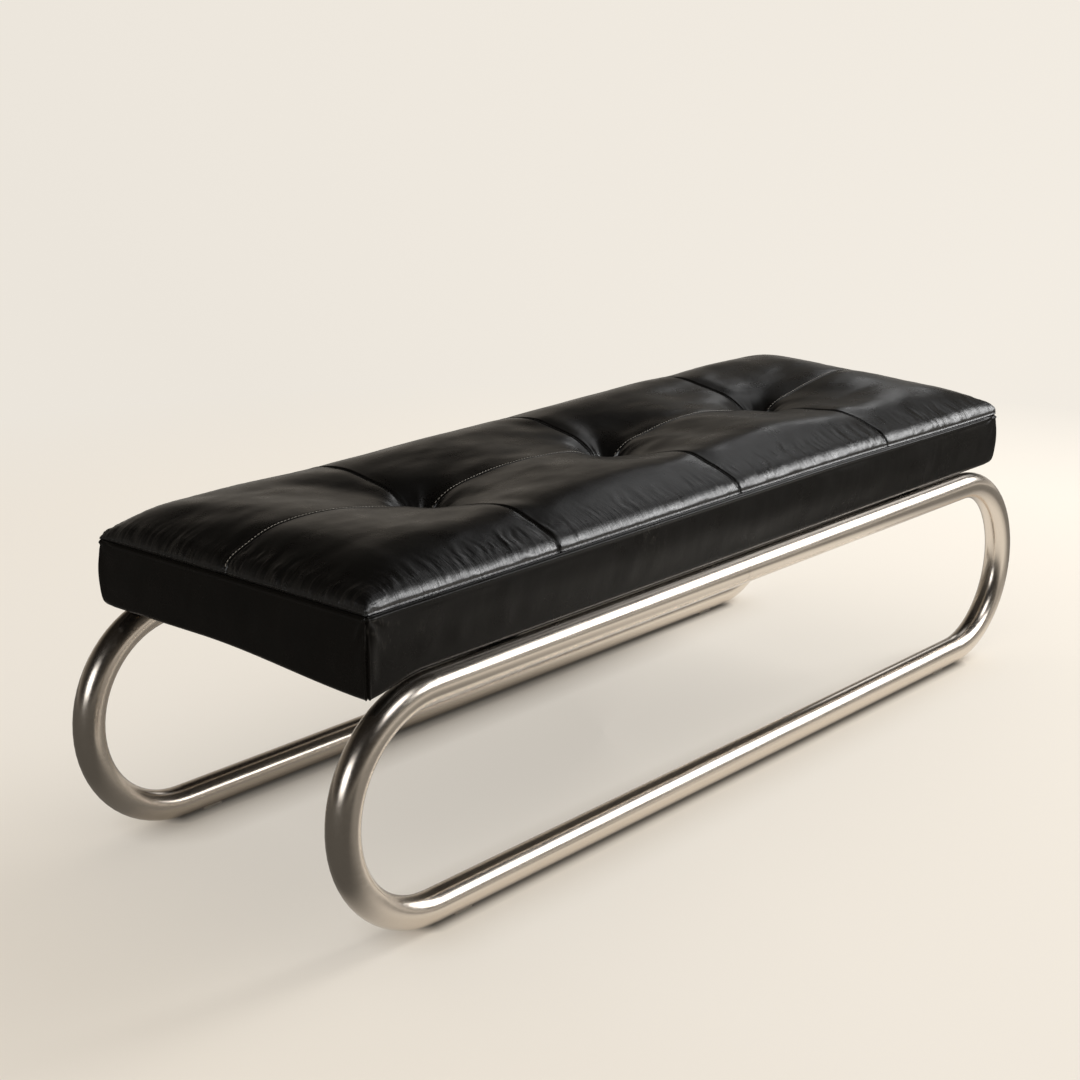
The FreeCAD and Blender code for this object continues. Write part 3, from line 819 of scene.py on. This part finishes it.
class BENCH_OT_dust_cover(bpy.types.Operator):
    """Stretch the dust cover under the seat"""

    bl_idname = "bench.dust_cover"
    bl_label = "Dust cover"

    def execute(self, context):
        low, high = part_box("dust_cover")
        half_a, half_b = high.x, high.y
        clearance, half_rail, corner = 0.05 * MM, 20 * MM, 20 * MM
        along = np.linspace(-half_a, half_a, 125)
        across = np.linspace(half_b, -half_b, 41)
        a, b = np.meshgrid(along, across)
        rail_low, rail_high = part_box("cross_rail_right")
        from_rail = np.maximum(np.abs(np.abs(a) - (rail_low.x + rail_high.x) / 2) - half_rail, 0)
        free = soft_step(from_rail, 0, 90 * MM) * soft_step(half_b - np.abs(b), 8 * MM, 90 * MM)
        free *= soft_step(half_a - np.abs(a), 8 * MM, 90 * MM)
        sag = MM * free * (2.2 + 0.5 * soft_noise(a / (80 * MM), b / (50 * MM), 61))
        x, y = round_corners(a, b, half_a, half_b, corner)
        points = np.stack([x, y, low.z + clearance - sag], axis=2)
        piece = Sheet(along, across, points).piece("dust_cloth")
        thicken(piece, high.z - low.z - 2 * clearance)
        finish_piece(piece, "dust_cloth", dust_cloth(), "dust_cover")
        return {"FINISHED"}


class BENCH_OT_metalwork(bpy.types.Operator):
    """Give the frame's own parts their finishes"""

    bl_idname = "bench.metalwork"
    bl_label = "Metalwork and board"

    def execute(self, context):
        finish = context.scene.bench_finish
        finishes = {
            "polished_tube": polished_tube(finish),
            "zinc_steel": zinc_steel(),
            "black_rail": black_rail(),
            "plywood": plywood(),
            "tuft_twine": thread("twine", finish.pale_thread),
            "glide_nylon": glide_nylon(),
        }
        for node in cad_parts.values():
            for place in node.material_slots:
                slot = place.material.name.split(".")[0]
                if slot in finishes:
                    place.material = finishes[slot]
        return {"FINISHED"}


# Finishes


class Nodes:
    """A tree of shader nodes."""

    def __init__(self, tree):
        self.tree = tree

    def add(self, kind, **settings):
        node = self.tree.nodes.new("ShaderNode" + kind)
        for key, value in settings.items():
            setattr(node, key, value)
        return node

    def feed(self, socket, value):
        """Links an output to a socket, or sets the socket to a number or a colour."""
        if isinstance(value, bpy.types.NodeSocket):
            self.tree.links.new(value, socket)
        elif isinstance(value, (int, float)):
            socket.default_value = value
        else:
            socket.default_value = (*value, 1)

    def math(self, operation, first, second=0):
        node = self.add("Math", operation=operation)
        self.feed(node.inputs[0], first)
        self.feed(node.inputs[1], second)
        return node.outputs[0]

    def product(self, first, *others):
        for other in others:
            first = self.math("MULTIPLY", first, other)
        return first

    def span(self, value, low, high, new_low, new_high):
        """A value from low to high, as one from new_low to new_high."""
        node = self.add("MapRange")
        for socket, number in zip(node.inputs, (value, low, high, new_low, new_high)):
            self.feed(socket, number)
        return node.outputs[0]

    def axes(self, vector):
        node = self.add("SeparateXYZ")
        self.feed(node.inputs[0], vector)
        return node.outputs

    def glow(self, tint, strength):
        node = self.add("Emission")
        self.feed(node.inputs["Color"], tint)
        self.feed(node.inputs["Strength"], strength)
        return node.outputs[0]

    def either(self, factor, first, second):
        """A shader that goes over from the first to the second where the factor is 1."""
        node = self.add("MixShader")
        for socket, value in zip(node.inputs, (factor, first, second)):
            self.feed(socket, value)
        return node.outputs[0]


class Finish(Nodes):
    """A material made of nodes round one surface shader."""

    def __init__(self, name):
        self.material = bpy.data.materials.new(name)
        self.material.use_nodes = True
        super().__init__(self.material.node_tree)
        self.surface = self.tree.nodes["Principled BSDF"]
        self.source = self.add("TexCoord")
        self.place = self.source.outputs["Object"]

    def set(self, **values):
        for key, value in values.items():
            self.feed(self.surface.inputs[key.replace("_", " ")], value)

    def show(self, shader):
        self.feed(self.tree.nodes["Material Output"].inputs["Surface"], shader)

    def stretched(self, scale, source=None):
        node = self.add("Mapping")
        node.inputs["Scale"].default_value = scale
        self.feed(node.inputs["Vector"], source or self.place)
        return node.outputs["Vector"]

    def noise(self, scale, detail=3, roughness=0.5, distortion=0, source=None):
        node = self.add("TexNoise")
        settings = {"Scale": scale, "Detail": detail, "Roughness": roughness, "Distortion": distortion}
        for key, value in settings.items():
            node.inputs[key].default_value = value
        self.feed(node.inputs["Vector"], source or self.place)
        return node.outputs["Fac"]

    def cells(self, scale):
        node = self.add("TexVoronoi", feature="F1")
        node.inputs["Scale"].default_value = scale
        self.feed(node.inputs["Vector"], self.place)
        return node.outputs["Distance"]

    def between(self, factor, first, second):
        """A colour that goes over from the first to the second where the factor is 1."""
        node = self.add("Mix", data_type="RGBA")
        for index, value in ((0, factor), (6, first), (7, second)):
            self.feed(node.inputs[index], value)
        return node.outputs[2]

    def gloss(self, pattern, low, high):
        """Roughness that follows a pattern."""
        self.set(Roughness=self.span(pattern, 0.3, 0.7, low, high))

    def tone(self, pattern, first, second):
        """Base colour that follows a pattern."""
        self.set(Base_Color=self.between(pattern, first, second))

    def bump(self, height, depth, strength):
        node = self.add("Bump")
        node.inputs["Strength"].default_value = strength
        node.inputs["Distance"].default_value = depth
        self.feed(node.inputs["Height"], height)
        normal = self.surface.inputs["Normal"]
        if normal.is_linked:
            self.feed(node.inputs["Normal"], normal.links[0].from_socket)
        self.feed(normal, node.outputs["Normal"])


def tinted(base, factor):
    return tuple(channel * factor for channel in base)


def leather(name, halves=None, scuffs_and_side_light_width=0):
    """Black, semi-gloss leather with a fine grain and soft wrinkles.

    Halves are those of a flat top with creased edges, and the strip width given for the boxing is the width
    of a rubbed strip; that copy also has painted light: twice the base colour and a far weaker reflection,
    to set how bright the sides look.
    """
    settings = bpy.context.scene.bench_finish
    finish = Finish(name)
    # Painted light: the boxing's copy of the leather gets twice the base colour, to set how bright the sides
    # look.
    base = tinted(settings.leather_colour, 2 if scuffs_and_side_light_width else 1)
    flat = finish.add("UVMap", uv_map="flat").outputs["UV"]
    flat_axes = finish.axes(flat)
    patches = finish.noise(9, detail=4, roughness=0.6)
    tone = finish.between(patches, tinted(base, 0.6), tinted(base, 1.5))
    finish.gloss(finish.noise(24), settings.leather_gloss - 0.02, settings.leather_gloss + 0.08)
    if scuffs_and_side_light_width:
        upper = finish.span(flat_axes["Y"], scuffs_and_side_light_width - 45 * MM, scuffs_and_side_light_width - 12 * MM, 0, 1)
        strokes = finish.noise(1, distortion=1.6, source=finish.stretched((130, 60, 1), flat))
        thin = finish.span(strokes, 0.55, 0.7, 0, 0.6)
        rubbed = finish.span(finish.noise(7, detail=2), 0.5, 0.66, 0, 1)
        in_front = finish.span(finish.axes(finish.place)["Y"], -HALF_WIDTH, -HALF_WIDTH + 8 * MM, 1, 0)
        tone = finish.between(finish.product(thin, rubbed, upper, in_front), tone, settings.scuff_colour)
    # Painted light and shade: the top's copy reflects strongly, the boxing's copy far more weakly.
    finish.set(Base_Color=tone, Specular_IOR_Level=0.17 if scuffs_and_side_light_width else 1)
    finish.bump(finish.noise(26, detail=5, roughness=0.55, distortion=0.3), 1.4 * MM, 0.16)
    for axis, half in (halves or {}).items():
        away = finish.math("SUBTRACT", half, finish.math("ABSOLUTE", flat_axes[axis]))
        near = finish.span(away, 8 * MM, 55 * MM, 1, 0)
        scale = (260, 26, 1) if axis == "Y" else (26, 260, 1)
        drawn = finish.stretched(scale, flat)
        ragged = finish.noise(1, detail=5, roughness=0.6, distortion=0.25, source=drawn)
        finish.bump(finish.product(ragged, near), 2.0 * MM, 0.55)
    finish.bump(finish.noise(150, detail=2), 0.4 * MM, 0.25)
    finish.bump(finish.cells(620), 0.2 * MM, 0.25)
    return finish.material


def thread(name, base):
    """Waxed thread with a twist."""
    finish = Finish(name)
    finish.tone(finish.noise(600, detail=2), tinted(base, 0.7), tinted(base, 1.15))
    finish.set(Roughness=0.5, Sheen_Weight=0.2)
    finish.bump(finish.noise(2400, detail=1), 0.1 * MM, 0.5)
    return finish.material


def polished_tube(settings):
    """Polished warm metal with faint lengthwise marks."""
    finish = Finish("polished_metal")
    streaks = finish.noise(60, source=finish.stretched((0.25, 6, 6)))
    finish.tone(streaks, tinted(settings.tube_colour, 0.92), settings.tube_colour)
    finish.gloss(streaks, settings.tube_gloss - 0.03, settings.tube_gloss + 0.04)
    finish.set(Metallic=1)
    return finish.material


def zinc_steel():
    """Zinc-plated steel with a faint spangle."""
    finish = Finish("zinc")
    finish.tone(finish.cells(260), (0.46, 0.47, 0.48), (0.62, 0.63, 0.64))
    finish.gloss(finish.noise(300), 0.3, 0.45)
    finish.set(Metallic=1)
    return finish.material


def black_rail():
    """Satin black paint with a slight orange peel."""
    finish = Finish("satin_paint")
    finish.tone(finish.noise(30, detail=4), (0.010, 0.010, 0.010), (0.018, 0.017, 0.016))
    finish.gloss(finish.noise(80), 0.38, 0.5)
    finish.bump(finish.noise(700, detail=2), 0.15 * MM, 0.3)
    return finish.material


def plywood():
    """Birch plywood: grain on the faces and plies along the edges."""
    finish = Finish("birch_plywood")
    drawn = finish.stretched((1, 14, 40))
    grain = finish.noise(9, detail=6, roughness=0.6, distortion=1.2, source=drawn)
    finish.tone(grain, (0.42, 0.27, 0.14), (0.66, 0.48, 0.29))
    finish.set(Roughness=0.6)
    finish.bump(grain, 0.4 * MM, 0.3)
    return finish.material


def foam():
    """Pale foam with open pores."""
    finish = Finish("open_foam")
    pores = finish.cells(700)
    finish.tone(pores, (0.55, 0.50, 0.40), (0.80, 0.75, 0.62))
    finish.set(Roughness=0.9)
    finish.bump(pores, 0.6 * MM, 0.6)
    return finish.material


def dust_cloth():
    """Thin black spun cloth."""
    finish = Finish("spun_cloth")
    fibres = finish.noise(420, detail=4, roughness=0.7, source=finish.stretched((1, 1, 0.2)))
    finish.tone(fibres, (0.010, 0.010, 0.011), (0.035, 0.034, 0.034))
    finish.set(Roughness=0.85, Sheen_Weight=0.3)
    finish.bump(fibres, 0.3 * MM, 0.5)
    return finish.material


def glide_nylon():
    """Cloudy, pale plastic that hardly shows on a pale floor."""
    finish = Finish("cloudy_nylon")
    finish.tone(finish.noise(90), (0.30, 0.27, 0.24), (0.38, 0.35, 0.31))
    finish.set(Roughness=0.48)
    finish.bump(finish.noise(900, detail=2), 0.1 * MM, 0.4)
    return finish.material


# Stage


class BENCH_OT_stage(bpy.types.Operator):
    """Set up the floor, the lamps and the camera"""

    bl_idname = "bench.stage"
    bl_label = "Stage"

    def execute(self, context):
        stage = context.scene.bench_stage
        self.floor(stage)
        self.drape(stage)
        self.sky(context, stage)
        for name, (place, target, size, glow) in PANELS.items():
            self.panel(name, place, target, size, glow * stage.panel_strength)
        self.lamp("key_lamp", *KEY_LAMP, stage.key_power)
        self.camera(context, stage)
        context.scene.view_settings.view_transform = "Standard"
        return {"FINISHED"}

    def floor(self, stage):
        """Pale paper that takes the shadow near the bench and is evenly pale further off, with a painted
        contact shadow along the lines under the tubes.
        """
        bpy.ops.object.select_all(action="DESELECT")
        bpy.ops.mesh.primitive_plane_add(size=400, location=(0, 0, 0))
        floor = named("floor")
        finish = Finish("floor_paper")
        x, y, _ = finish.axes(finish.place)
        base = tuple(stage.floor_colour)
        from_tube = self.tube_distance(finish, x, y)
        # Painted contact shadow: the floor's colour falls to 0.3 of itself within 6 mm of the line under a
        # tube, and is full again by 26 mm.
        painted_contact_shadow = finish.span(from_tube, 6 * MM, 26 * MM, 0, 1)
        finish.tone(painted_contact_shadow, tinted(base, 0.3), base)
        finish.set(Roughness=0.9, Specular_IOR_Level=0.1)
        path = finish.add("LightPath")
        reflected = path.outputs["Is Glossy Ray"]
        dim = finish.product(reflected, finish.math("SUBTRACT", 1, self.mirrored(finish, x, y, from_tube)))
        glow = finish.glow(self.lamp_side_glow(finish, base), finish.math("SUBTRACT", 1, dim))
        away = finish.add("VectorMath", operation="LENGTH")
        finish.feed(away.inputs[0], finish.place)
        far = finish.math(
            "MAXIMUM",
            finish.span(away.outputs["Value"], 1.1, 2.4, 0.3, 1),
            finish.span(x, -0.9, -0.5, 0.3, 0.56),
        )
        shown = finish.math("MAXIMUM", finish.product(far, path.outputs["Is Camera Ray"]), reflected)
        beside = finish.span(from_tube, 0, 90 * MM, 0, 1)
        finish.show(finish.either(finish.product(shown, beside), finish.surface.outputs[0], glow))
        floor.data.materials.append(finish.material)

    def lamp_side_glow(self, finish, base):
        """The floor's glow, with painted light: a little paler to the camera's right, the side where the key
        lamp stands.
        """
        towards = finish.add("VectorMath", operation="NORMALIZE")
        finish.feed(towards.inputs[0], finish.place)
        rightwards = finish.add("VectorMath", operation="DOT_PRODUCT")
        finish.feed(rightwards.inputs[0], towards.outputs[0])
        rightwards.inputs[1].default_value = (0.66, -0.75, 0)
        side = finish.span(rightwards.outputs["Value"], -0.35, 0.35, 0, 1)
        return finish.between(side, tinted(base, 0.98), tinted(base, 1.05))

    def mirrored(self, finish, x, y, from_tube):
        """How bright the floor is in the tubes: most beside the front loop and at the right."""
        near_tube = finish.span(from_tube, 90 * MM, 170 * MM, 1, 0.3)
        beside_front = finish.product(near_tube, finish.span(y, -0.15, 0.1, 1, 0.3))
        from_left = finish.span(x, -0.2, 0.5, 0.3, 1)
        ends = finish.product(finish.span(x, -0.75, -0.5, 0.4, 1), finish.span(x, 0.7, 1.1, 1, 0.25))
        return finish.product(finish.math("MAXIMUM", beside_front, from_left), ends)

    def tube_distance(self, finish, x, y):
        """Distance on the floor from the line under the nearest tube."""
        along = finish.math("SUBTRACT", finish.math("ABSOLUTE", x), TUBE_BEND_X)
        along = finish.math("MAXIMUM", along)
        across = finish.math("SUBTRACT", finish.math("ABSOLUTE", y), TUBE_Y)
        squares = finish.math("ADD", finish.product(along, along), finish.product(across, across))
        return finish.math("SQRT", squares)

    def panel(self, name, place, target, size, strength):
        """Bright panel with soft edges that only reflections show."""
        bpy.ops.object.select_all(action="DESELECT")
        turn = (Vector(target) - Vector(place)).to_track_quat("Z", "Y").to_euler()
        bpy.ops.mesh.primitive_plane_add(size=1, location=place, rotation=turn)
        panel = named(name)
        panel.scale = (*size, 1)
        bpy.ops.object.transform_apply(location=True, rotation=True, scale=True)
        finish = Finish(name)
        spots = finish.axes(finish.source.outputs["UV"])
        fades = []
        for axis, even in (("X", 0.25), ("Y", 0.05)):
            off_centre = finish.math("ABSOLUTE", finish.math("SUBTRACT", spots[axis], 0.5))
            fades.append(finish.span(off_centre, even, 0.5, 1, 0))
        finish.show(finish.glow((1, 1, 1), finish.product(*fades, strength)))
        panel.data.materials.append(finish.material)
        self.reflected_only(panel)

    def reflected_only(self, piece):
        piece.visible_camera = False
        piece.visible_diffuse = False
        piece.visible_shadow = False

    def drape(self, stage):
        """Dim cloth hung round the studio and over it, which only reflections show.

        It glows, as painted light: pale low down, to the right and behind, and near the floor, most to the
        right, it takes on the floor's colour.
        """
        bpy.ops.object.select_all(action="DESELECT")
        bpy.ops.mesh.primitive_cylinder_add(
            vertices=96, radius=7, depth=5, end_fill_type="NGON", location=(0, 0, 2.5)
        )
        drape = named("studio_drape")
        bpy.ops.object.transform_apply(location=True)
        bpy.ops.object.mode_set(mode="EDIT")
        bpy.ops.mesh.select_all(action="SELECT")
        bpy.ops.mesh.bisect(plane_co=(0, 0, 5 * MM), plane_no=(0, 0, 1), clear_inner=True)
        bpy.ops.object.mode_set(mode="OBJECT")
        finish = Finish("drape_cloth")
        x, y, z = finish.axes(finish.place)
        low = finish.span(z, 2.2, 4.9, 0.5, 0)
        right = finish.span(x, -5, 6, 0.15, 0.85)
        behind = finish.span(y, 3.6, 5.2, 0.25, 1)
        tone = finish.between(finish.product(low, right, behind), stage.shade_colour, stage.drape_colour)
        horizon = finish.product(finish.span(z, 0, 1.3, 1, 0), right)
        finish.show(finish.glow(finish.between(horizon, tone, stage.floor_colour), 1))
        drape.data.materials.append(finish.material)
        self.reflected_only(drape)

    def sky(self, context, stage):
        """Even light, with the floor's colour where the sky itself is seen or mirrored."""
        world = bpy.data.worlds.new("studio")
        context.scene.world = world
        world.use_nodes = True
        nodes = Nodes(world.node_tree)
        shaders = []
        lights = (
            (nodes.tree.nodes["Background"], stage.sky_colour, stage.sky_strength),
            (nodes.add("Background"), stage.floor_colour, 1),
        )
        for shader, tint, strength in lights:
            nodes.feed(shader.inputs["Color"], tint)
            nodes.feed(shader.inputs["Strength"], strength)
            shaders.append(shader.outputs[0])
        path = nodes.add("LightPath")
        seen = nodes.math("MAXIMUM", path.outputs["Is Camera Ray"], path.outputs["Is Glossy Ray"])
        nodes.feed(nodes.tree.nodes["World Output"].inputs["Surface"], nodes.either(seen, *shaders))

    def lamp(self, name, place, target, size, power):
        """Large soft lamp that no reflection shows."""
        bpy.ops.object.light_add(type="AREA", location=place)
        lamp = named(name)
        lamp.data.shape = "RECTANGLE"
        lamp.data.size, lamp.data.size_y = size
        lamp.data.energy = power
        lamp.data.color = (1, 0.99, 0.97)
        lamp.rotation_euler = (Vector(target) - Vector(place)).to_track_quat("-Z", "Y").to_euler()
        lamp.visible_camera = False
        lamp.visible_glossy = False

    def camera(self, context, stage):
        level = math.cos(stage.elevation)
        back = Vector(
            (math.sin(stage.azimuth) * level, -math.cos(stage.azimuth) * level, math.sin(stage.elevation))
        )
        bpy.ops.object.camera_add(location=Vector(stage.target) + back * stage.distance)
        camera = named("photo_camera")
        camera.rotation_euler = back.to_track_quat("Z", "Y").to_euler()
        camera.data.lens = stage.lens
        camera.data.sensor_width = 36
        context.scene.camera = camera


class BENCH_PT_panel(bpy.types.Panel):
    """Sizes, finishes and steps of the bench"""

    bl_idname = "BENCH_PT_panel"
    bl_label = "Leather bench"
    bl_space_type = "VIEW_3D"
    bl_region_type = "UI"
    bl_category = "Bench"

    def draw(self, context):
        layout = self.layout
        for name in SETTINGS:
            settings = getattr(context.scene, name)
            for key in settings.__annotations__:
                layout.prop(settings, key)
        for operator in OPERATORS:
            layout.operator(operator.bl_idname)


SETTINGS = {
    "bench_seat": BenchSeatSettings,
    "bench_finish": BenchFinishSettings,
    "bench_stage": BenchStageSettings,
}
OPERATORS = (
    BENCH_OT_leather_top,
    BENCH_OT_leather_boxing,
    BENCH_OT_stitching,
    BENCH_OT_tuft_buttons,
    BENCH_OT_foam_core,
    BENCH_OT_dust_cover,
    BENCH_OT_metalwork,
    BENCH_OT_stage,
)


def register():
    for kind in (*SETTINGS.values(), *OPERATORS, BENCH_PT_panel):
        bpy.utils.register_class(kind)
    for name, kind in SETTINGS.items():
        setattr(bpy.types.Scene, name, PointerProperty(type=kind))


def unregister():
    for name in SETTINGS:
        delattr(bpy.types.Scene, name)
    for kind in (BENCH_PT_panel, *reversed(OPERATORS), *SETTINGS.values()):
        bpy.utils.unregister_class(kind)


def main():
    register()
    for operator in OPERATORS:
        group, name = operator.bl_idname.split(".")
        getattr(getattr(bpy.ops, group), name)()


if __name__ == "__main__":
    main()
